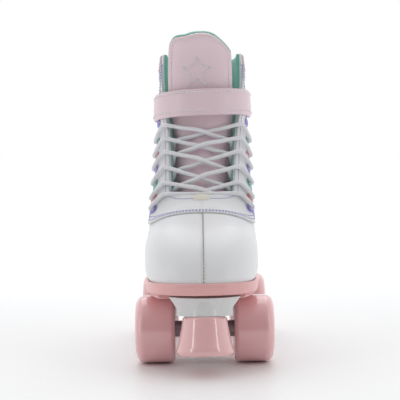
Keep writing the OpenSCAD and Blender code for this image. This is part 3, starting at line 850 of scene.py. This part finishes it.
def tongue_top(k):
    """Where the wavy top edge lies, as a place up the tongue."""
    a = k - 0.06
    drop = 0.93 * (-a / 1.01) ** 1.7 if a < 0 else 0.88 * (a / 0.64) ** 1.9
    ear = 0.12 * math.exp(-((k + 0.85) / 0.2) ** 2) - 0.1 * math.exp(-((k + 0.5) / 0.18) ** 2)
    return 11.93 - drop + ear - 0.4 * clamp((-k - 0.88) / 0.12) ** 2


face_d, face_short = 1.1, 0.09


def tongue_thick(t, k):
    return 1.1 + 4.6 * (1 - abs(k) ** 3) * min(1, t / 2 + 0.15)


def face_puff(t, k, top):
    """The pad's soft rise inside its edge stitching."""
    inside = min(1, (1 - abs(k)) / 0.22) * min(1, max(0, top - t) / 0.7)
    return 1.3 * smooth(inside)


def tongue_skin(deep, short):
    rows = []
    for i in range(73):
        row = []
        for j in range(45):
            k = math.sin(math.pi / 2 * (2 * j / 44 - 1))
            top = tongue_top(k) - short
            t = top * i / 72
            row.append(tongue_point(t, k, deep(t, k, top)))
        rows.append(row)
    return rows


def face_front(t, k, top):
    return face_d - face_puff(t, k, top)


tongue_face = finished(
    "tongue_face",
    *slab(tongue_skin(face_front, face_short),
          tongue_skin(lambda t, k, top: tongue_thick(t, k) * 0.55 + 1.0, face_short)),
    pink, bevel=0.35, replaces=("tongue",), slot="pink_leather")
finished("tongue_back", *slab(tongue_skin(lambda t, k, top: tongue_thick(t, k) * 0.55 + 1.05, 0),
                              tongue_skin(lambda t, k, top: tongue_thick(t, k) + 1.9, 0)),
         mint, bevel=0.4, replaces=("tongue_lining",), slot="mint_fabric")


def on_tongue(route, d):
    """Points and normals on the face, for (t, k) places."""
    line = []
    for t, k in route:
        p = tongue_point(t, k, face_front(t, k, tongue_top(k) - face_short))
        q = tongue_point(t, k, 3.1)
        n = (p - q).normalized()
        line.append((p + n * d, n))
    return line


edge = [(t, -0.9) for t in steps(6.5, tongue_top(-0.9) - 0.5, 40)]
edge += [(tongue_top(k) - 0.34, k) for k in steps(-0.86, 0.86, 40)]
edge += [(t, 0.9) for t in steps(tongue_top(0.9) - 0.5, 6.5, 40)]
stitches("tongue_stitches", [on_tongue(edge, 0.15)], cream_thread)

# %% [markdown]
# The tongue carries an embroidered mark. A plain five-pointed star, drawn with two rows of silver
# thread, stands here as a neutral ornament.

# %% Embroidered star
star_t, star_x, star_r = 8.85, -2.5, 13.5
place_height = 13.6  # millimetres between two places up the tongue here


def star_line(radius):
    corners = []
    for i in range(10):
        r = radius if i % 2 == 0 else radius * 0.45
        a = math.pi / 2 + math.pi * i / 5
        corners.append((r * math.cos(a), r * math.sin(a)))
    corners.append(corners[0])
    route = []
    for (x0, z0), (x1, z1) in zip(corners, corners[1:]):
        for s in steps(0, 1, 6)[:-1]:
            x, z = mix(x0, x1, s), mix(z0, z1, s)
            t = star_t + z / place_height
            route.append((t, (x + star_x) / tongue_at(t)[2]))
    route.append(route[0])
    return on_tongue(route, 0.12)


stitches("star_embroidery", [star_line(star_r), star_line(star_r - 1.1)], silver_thread,
         pitch=1.5, length=1.7, radius=0.3)

# %% [markdown]
# ## Lining
# The collar is lined with a thick, soft layer that rolls up to the top edge. The swelling is the
# foam inside. Both halves share one mesh row down the back, where they are seamed.

# %% Collar lining
lining_t = 2.6
lining_us = steps(throat + 0.1, collar + 0.12, 60)


def lining_pad(u, t):
    pad = 1.6 * smooth((u - 14.2) / 1.5) * smooth((collar + 0.12 - u) / 0.5)
    return pad * smooth(t / 0.12)


def lining_panel(side):
    outer, inner = [], []
    for u in lining_us:
        out_row, in_row = [], []
        for j in range(41):
            t = j / 40
            v = side * mix(edge_v(u) + 0.6, mix(144, 180, clamp((u - 10) / 2)), t)
            roll = 1.1 * smooth((u - collar + 0.15) / 0.27)
            out_row.append(boot(u, v, -leather_t - 0.05 - roll))
            in_row.append(boot(u, v, -leather_t - lining_t - 0.3 - lining_pad(u, t) + roll))
        outer.append(out_row)
        inner.append(in_row)
    return slab(outer, inner)


collar_padding = finished("collar_lining", *joined([lining_panel(-1), lining_panel(1)]), mint,
                          bevel=0.7, replaces=("lining_left", "lining_right"), slot="mint_fabric")

# %% [markdown]
# ## Lace
# One round lace threads the whole opening. It lies straight across the lowest pair of eyelets,
# then each end dives in, comes up from under the far edge, and crosses to the next eyelet from
# outside. The ends are tucked inside. The route is the one that the frame's own lace takes.

# %% Lace route
lace_r = 1.78
lace_rows = 6


def lace_hole(side, row, d):
    u, v = eyelet_rows[row], side * eyelet_v(row)
    return boot(u, v) + outward(u, v) * d


def shin_way(u):
    """Straight out of the front of the boot, down its middle."""
    t = boot(u + 0.2, 0) - boot(u - 0.2, 0)
    return Vector((0, -t.z, t.y)).normalized()


def lace_cross(side, row, lift):
    u, w = eyelet_rows[row], eyelet_rows[row + 1]
    e, f = edge_v(u), edge_v(w)
    n = shin_way((u + w) / 2)
    a, b = boot(u + 0.1, side * (e - 5), -4.4), boot(w, -side * (f + 1), 4)
    return [
        lace_hole(side, row, 2), lace_hole(side, row, -4), lace_hole(side, row, -7.9),
        boot(u + 0.06, side * (e + 6), -7.4), a, a.lerp(b, 0.25) + n * lift * 0.5,
        a.lerp(b, 0.47) + n * lift, a.lerp(b, 0.72) + n * lift * 0.5, b,
        boot(w + 0.02, -side * (f + 10), 4.6), lace_hole(-side, row + 1, 4.6),
    ]


def lace_end(side):
    row = lace_rows - 1
    u = eyelet_rows[row]
    e = edge_v(u)
    return [lace_hole(side, row, 2), lace_hole(side, row, -4), lace_hole(side, row, -8),
            boot(u + 0.5, side * (e + 16), -9.5), boot(u + 1.5, side * (e + 18), -9.5),
            boot(u + 2.6, side * (e + 22), -9.5)]


def run_from(side):
    route = []
    for row in range(lace_rows - 1):
        lift = (4.6 if side > 0 else 0.7) + 0.5 * row
        route += lace_cross(side * (1 if row % 2 == 0 else -1), row, lift)
    return route + lace_end(side * (-1 if lace_rows % 2 == 0 else 1))


def lace_bar():
    u = eyelet_rows[0]
    e = edge_v(u)
    a, b = boot(u, -e - 1, 4), boot(u, e + 1, 4)
    return [boot(u, -e - 10, 4.6), a, a.lerp(b, 0.3), a.lerp(b, 0.5), a.lerp(b, 0.7), b,
            boot(u, e + 10, 4.6)]


lace_points = (run_from(-1)[::-1] + [lace_hole(-1, 0, 4.6)] + lace_bar()
               + [lace_hole(1, 0, 4.6)] + run_from(1))
lace_route = [at(lace_points, i / 8) for i in range(8 * (len(lace_points) - 1) + 1)]
lace_length = sum((b - a).length for a, b in zip(lace_route, lace_route[1:]))
print(f"lace is {lace_length:.0f} mm long")


# %% Lace mesh, with a map that runs along it
def carried_normals(path):
    """Directions across a path that turn with it and never twist."""
    normals = []
    n = Vector((0.3, 1, 0.2))
    for i in range(len(path)):
        way = (path[min(i + 1, len(path) - 1)] - path[max(i - 1, 0)]).normalized()
        n = (n - way * n.dot(way)).normalized()
        normals.append(n)
    return normals


lace_sides = 14
map_scale, strands = 0.9, 6
lace_points_out, lace_faces = tube(lace_route, lace_r, lace_sides, carried_normals(lace_route))
lace_mesh = bpy.data.meshes.new("lace_braid")
lace_mesh.from_pydata([placed(p) for p in lace_points_out], [], lace_faces)
distances = [0.0]
for a, b in zip(lace_route, lace_route[1:]):
    distances.append(distances[-1] + (b - a).length)
lace_map = lace_mesh.uv_layers.new(name="lace_map")
for face in lace_mesh.polygons:
    turns = [i % lace_sides for i in face.vertices]
    wraps = max(turns) - min(turns) > lace_sides / 2
    for loop, index in zip(face.loop_indices, face.vertices):
        turn = index % lace_sides
        turn += lace_sides if wraps and turn == 0 else 0
        lace_map.data[loop].uv = (distances[index // lace_sides] * map_scale,
                                  strands * turn / lace_sides * map_scale)
lace_mesh.shade_smooth()
lace_mesh.materials.append(lace_cloth)
lace = linked("lace_braid", lace_mesh)
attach(lace, "boot")
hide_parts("lace")
print("lace_braid:", len(lace_mesh.polygons), "faces")

# %% [markdown]
# ## Ankle strap
# A padded strap crosses above the laces. It is sewn on at the inner side of the ankle and closes
# with hook tape at the outer side. One long piece is built from its sewn root to its free end, and
# it bends round the boot's inner front corner.

# %% Strap
strap_low, strap_w = 196.5, 22.5
strap_to, strap_root = 96, -124


def strap_z(v):
    a = math.radians(v)
    return strap_low + 1.75 * math.sin(a) - 2.3 * (1 - math.cos(a))


def strap_lift(v):
    """The strap lies on its sewn root and rises over the facing."""
    return mix(0.4, 2.9, smooth((v + 108) / 24))


def strap_point(v, share, d):
    z = strap_z(v) + strap_w * share
    return boot(u_at_height(z, v, 0), v, strap_lift(v) + d)


def strap_end(share):
    """Both corners of the free end are rounded."""
    return strap_to - 5 * (abs(2 * share - 1) ** 5)


def strap_puff(share):
    """The padding falls away to both long edges."""
    return 0.55 * smooth(min(share, 1 - share) / 0.2)


strap_t = 1.8
shares = steps(0, 1, 16)


def strap_rows(d, puffed):
    rows = []
    for i in range(121):
        row = []
        for share in shares:
            v = mix(strap_root, strap_end(share), i / 120)
            row.append(strap_point(v, share, d + (strap_puff(share) if puffed else 0)))
        rows.append(row)
    return rows


strap = finished("ankle_strap", *slab(strap_rows(strap_t, True), strap_rows(0, False)), pink,
                 body=None, bevel=0.5, replaces=("strap", "strap_anchor"), slot="pink_leather")
strap_joint = next(j for j in frame["joints"] if j["name"] == "strap_open")
strap_pin = Vector(strap_joint["pos_m"])
strap_way = (strap_point(-54, 0.5, 0) - strap_point(-70, 0.5, 0)).normalized()


def hinged(piece):
    """Bakes the piece's placement into its mesh."""
    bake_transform(piece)


hinged(strap)

rows = []
for share in (0.14, 0.86):
    route = []
    for v in steps(strap_root + 3, strap_to - 3, 110):
        n = outward(u_at_height(strap_z(v) + strap_w * share, v, 0), v)
        route.append((strap_point(v, share, strap_t + strap_puff(share) + 0.12), n))
    rows.append(route)
hinged(stitches("strap_stitches", rows, strap_thread, body=None, pitch=3.6, length=2.6,
                radius=0.45))

# %% [markdown]
# ## Sole
# The moulded sole is one piece: a band that hugs the upper, a set-back tier under it, a raised
# arch and a heel block. Its outline follows the last, a little further out at each level. Its
# edges are rounded, and the whole outline is a stack of closed rings.

# %% Sole rings
band_height = 8.5
tread_z, arch_rise, heel_front, nose_back = 57.5, 9, 106, -44
sole_us = steps(0, 10, 110) + [10.1 + 1.6 * i / 26 for i in range(27)]


def tread_low(y):
    return tread_z + arch_rise * (smooth((y - 42) / 22) - smooth((y - heel_front + 7) / 7))


sole_places = [(u, v_above(u, band_height, 0.5)) for u in sole_us]


def sole_ring(d, z, front=-100.0):
    right = [boot(u, v, d) for u, v in sole_places]
    left = [boot(u, -v, d) for u, v in reversed(sole_places)]
    return [Vector((p.x, max(p.y, front), z(p.y))) for p in right + left]


def above_bottom(h):
    return lambda y: bottom_z(y) + h


def tier(h):
    return lambda y: min(max(tread_low(y) + h, 0), bottom_z(y) - 1.2)


sole_rings = [
    sole_ring(-2.0, tread_low, nose_back), sole_ring(-1.1, tier(0.25), nose_back),
    sole_ring(-0.8, tier(1.1), nose_back),
    sole_ring(-0.6, lambda y: max(tread_low(y) + 1.3, bottom_z(y) - 1.6), nose_back + 2),
    sole_ring(0.3, above_bottom(-0.9)), sole_ring(1.3, above_bottom(-0.45)),
    sole_ring(1.9, above_bottom(0.3)), sole_ring(2.2, above_bottom(1.4)),
    sole_ring(2.3, above_bottom(2.5)),
    sole_ring(2.3, above_bottom(4.4)),
    sole_ring(2.3, above_bottom(6.6)), sole_ring(2.1, above_bottom(7.6)),
    sole_ring(1.6, above_bottom(8.2)), sole_ring(0.9, above_bottom(8.45)),
    sole_ring(0.2, above_bottom(8.3)), sole_ring(-0.2, above_bottom(6.5)),
]


def stacked(rings):
    """Closed rings, capped at both ends with rungs from one half of the ring to the other."""
    n = len(rings[0])
    points = [p for ring in rings for p in ring]
    faces = grid_faces(len(rings), n, around=True)
    top = (len(rings) - 1) * n
    for j in range(n // 2 - 1):
        a, b, c, d = j, j + 1, n - 2 - j, n - 1 - j
        faces.append((a, b, c, d))
        faces.append((top + d, top + c, top + b, top + a))
    return points, faces


finished("moulded_sole", *stacked(sole_rings), sole_pink, replaces=("outsole",),
         slot="pink_sole")

# %% [markdown]
# ## Wheels and stopper
# A wheel is turned on a lathe, and so is its mesh: one profile, swept round the axle. The outer
# shoulder is broad and round and the inner one is small. Two shallow steps in the side face carry
# the light the way a moulded wheel does.

# %% Lathe
def lathe(profile, turns, place):
    """Sweeps (radius, height) pairs; place turns (x, y, height) into a point."""
    rings = []
    for r, h in profile:
        rings.append([place(r * math.cos(a), r * math.sin(a), h)
                      for a in (2 * math.pi * i / turns for i in range(turns))])
    points = [p for ring in rings for p in ring]
    return points, grid_faces(len(rings), turns, around=True)


def corner(r, h, size, first, last, n):
    return [(r + size * math.cos(a), h + size * math.sin(a))
            for a in (math.radians(mix(first, last, i / n)) for i in range(n + 1))]


# %% Tyres
tyre_low, tyre_high = span("tyre_front_right")
tyre_r = (tyre_high.z - tyre_low.z) / 2
tyre_half = (tyre_high.x - tyre_low.x) / 2
wheel_x = (tyre_high.x + tyre_low.x) / 2
outer_lip, inner_lip = 7.5, 4.0
tyre_profile = (
    [(17.05, -tyre_half + 2.2), (17.6, -tyre_half + 1.4), (20.2, -tyre_half + 0.2), (21.4, -tyre_half)]
    + corner(tyre_r - inner_lip, -tyre_half + inner_lip, inner_lip, -90, 0, 12)
    + [(tyre_r, h) for h in steps(-tyre_half + inner_lip + 1, tyre_half - outer_lip - 1, 6)]
    + corner(tyre_r - outer_lip, tyre_half - outer_lip, outer_lip, 0, 88, 18)
    + [(18.6, tyre_half - 0.35), (17.9, tyre_half - 0.9), (17.3, tyre_half - 1.9),
       (17.05, tyre_half - 2.6)]
)
tyre_profile.append(tyre_profile[0])
for end, y in (("front", 0.0), ("rear", wheelbase)):
    for side, word in ((-1, "left"), (1, "right")):
        def place(a, b, h, side=side, y=y):
            return Vector((side * (wheel_x + h), y + a, axle_z + b))
        finished(f"wheel_{end}_{word}", *lathe(tyre_profile, 144, place), wheel_pink,
                 body=f"wheel_{end}_{word}", replaces=(f"tyre_{end}_{word}",), slot="pink_wheel")

# %% Toe stopper
stop_mount = next(m for m in frame["record"]["mounts"] if m["name"] == "toe_stop_face")
stop_at = Vector(stop_mount["pos_m"]) / MM - Vector((0, axle_y, 0))
stop_up = -Vector(stop_mount["axis"])
stop_side = Vector((1, 0, 0))
stop_front = stop_up.cross(stop_side)
stop_r, stop_top_r, stop_h, stop_lip = 22.5, 17, 30, 4
stop_profile = [(0.05, 0.5), (8, 0.5), (9.5, 0.5), (10.2, 0), (stop_r - stop_lip, 0)]
stop_profile += corner(stop_r - stop_lip, stop_lip, stop_lip, -85, 0, 12)
for t in steps(0.12, 0.9, 10):
    waist = 0.5 * math.sin(math.pi * t)
    stop_profile.append((mix(stop_r, stop_top_r, t) - waist, mix(stop_lip, stop_h, t)))
stop_profile += [(stop_top_r + 0.2, stop_h - 1.0), (stop_top_r - 0.6, stop_h - 0.1),
                 (stop_top_r - 1.2, stop_h), (0.05, stop_h)]


def stop_place(a, b, h):
    return stop_at + stop_side * a + stop_front * b + stop_up * h


finished("toe_stopper", *lathe(stop_profile, 128, stop_place), stop_pink, replaces=("toe_stop",),
         slot="pink_stop")

# %% [markdown]
# ## The mechanical pieces
# Plate, trucks, nuts and bearings keep the shape that the frame gives them, because it is exact.
# They get their finishes here, and a small bevel where a cast or moulded edge is really rounded.

# %% Finishes for the frame's own pieces
def dress(node, material, bevel=0.0):
    piece = frame["nodes"][node]
    if not piece.data.materials:
        piece.data.materials.append(material)
    for place in piece.material_slots:
        place.link = "OBJECT"
        place.material = material
    if bevel:
        round_edges(piece, bevel, 2, 40)


for node, material in eyelet_enamels.items():
    dress(node, material)
for end in ("front", "rear"):
    dress(f"hanger_{end}", cast_grey_and_painted_shade)
    dress(f"axle_{end}", zinc)
    dress(f"axle_nuts_{end}", zinc, 0.3)
    dress(f"bearing_inner_races_{end}", zinc)
    dress(f"kingpin_{end}", zinc)
    dress(f"cushions_{end}", cushion_pink)
    for word in ("left", "right"):
        dress(f"hub_{end}_{word}", hub_pale)
        dress(f"bearings_{end}_{word}", dark_seal)
for node in ("mounting_bolts", "mounting_nuts", "toe_stop_bolt", "toe_stop_nut", "kingpin_nuts",
             "cushion_washers", "shank"):
    dress(node, zinc)
dress("plate", plate_white, 0.8)
dress("pivot_cups", cup_white)
dress("insole_board", board_brown)
dress("footbed", footbed_cloth)
dress("strap_hook_patch", hook_tape)
dress("strap_loop_patch", hook_tape)
dress("lace_tips", cup_white)

# %% [markdown]
# ## Light, floor and camera
# The skate stands on a pale floor in a bright room: wide soft lights at both sides, above and
# behind, and little light from the front, so that the flanks glow and the toe and the tongue turn
# a soft grey. The camera is far off with a long lens, so the wheels hardly lean.

# %% Floor
# The floor paint carries a painted glow: its emission colour rises from black within 0.25 m of the floor's centre
# to white at 1.2 m.
floor_paint_and_glow = Finish("floor_paint_and_glow", (0.93, 0.93, 0.93), 0.4, Specular_IOR_Level=0.2,
                     Emission_Strength=0.22)
floor_paint_and_glow.tint(floor_paint_and_glow.noise(3, 2), (0.9, 0.9, 0.9), 0.5)
far = floor_paint_and_glow.node("ShaderNodeVectorMath", operation="LENGTH")
floor_paint_and_glow.link(floor_paint_and_glow.space, far.inputs[0])
painted_glow_fade = floor_paint_and_glow.ranged(far.outputs["Value"], 0, 1, 0.25, 1.2)
floor_paint_and_glow.link(painted_glow_fade, floor_paint_and_glow.shader.inputs["Emission Color"])
floor_mesh = bpy.data.meshes.new("floor")
floor_mesh.from_pydata([(-6, -6, 0), (6, -6, 0), (6, 6, 0), (-6, 6, 0)], [], [(0, 1, 2, 3)])
floor_mesh.materials.append(floor_paint_and_glow.material)
floor = linked("floor", floor_mesh)


# %% Lights
def soft_light(name, place, target, width, height, watts):
    lamp = bpy.data.lights.new(name, "AREA")
    lamp.shape = "RECTANGLE"
    lamp.size, lamp.size_y = width, height
    lamp.energy = watts
    holder = linked(name, lamp)
    holder.location = place
    holder.rotation_euler = (Vector(target) - Vector(place)).to_track_quat("-Z", "Y").to_euler()


soft_light("left_strip", (-0.85, -0.6, 0.4), (0, 0, 0.1), 0.1, 0.9, 1.4)
soft_light("right_strip", (0.85, -0.6, 0.4), (0, 0, 0.1), 0.1, 0.9, 1.4)
soft_light("top_softbox", (0, 0.7, 1.3), (0, 0, 0.1), 1.2, 1.2, 5)

world = bpy.data.worlds.new("studio")
bpy.context.scene.world = world
world.use_nodes = True
room = world.node_tree
surround = room.nodes["Background"]
surround.inputs["Color"].default_value = (0.98, 0.99, 1.0, 1)
toward = room.nodes.new("ShaderNodeTexCoord")
part = room.nodes.new("ShaderNodeSeparateXYZ")
room.links.new(toward.outputs["Generated"], part.inputs[0])
front = room.nodes.new("ShaderNodeMapRange")
front.interpolation_type = "SMOOTHSTEP"
for socket, value in (("From Min", -1.0), ("From Max", 0.0), ("To Min", 0.06), ("To Max", 1.0)):
    front.inputs[socket].default_value = value
room.links.new(part.outputs["Y"], front.inputs["Value"])
room.links.new(front.outputs["Result"], surround.inputs["Strength"])
backdrop = room.nodes.new("ShaderNodeBackground")
backdrop.inputs["Color"].default_value = (1, 1, 1, 1)
backdrop.inputs["Strength"].default_value = 1.0
seen = room.nodes.new("ShaderNodeLightPath")
either = room.nodes.new("ShaderNodeMixShader")
room.links.new(seen.outputs["Is Camera Ray"], either.inputs[0])
room.links.new(surround.outputs[0], either.inputs[1])
room.links.new(backdrop.outputs[0], either.inputs[2])
room.links.new(either.outputs[0], room.nodes["World Output"].inputs["Surface"])

# %% Camera
camera_data = bpy.data.cameras.new("camera")
camera_data.sensor_width = 36
camera_data.lens = 112.5
camera = linked("camera", camera_data)
camera.location = placed((-2.6, -1000, 194))
pitch, roll = math.radians(3.62), math.radians(0.7)
forward = Vector((0, math.cos(pitch), -math.sin(pitch)))
camera.rotation_mode = "QUATERNION"
camera.rotation_quaternion = Quaternion(forward, roll) @ forward.to_track_quat("-Z", "Y")
bpy.context.scene.camera = camera
bpy.context.scene.view_settings.view_transform = "Standard"
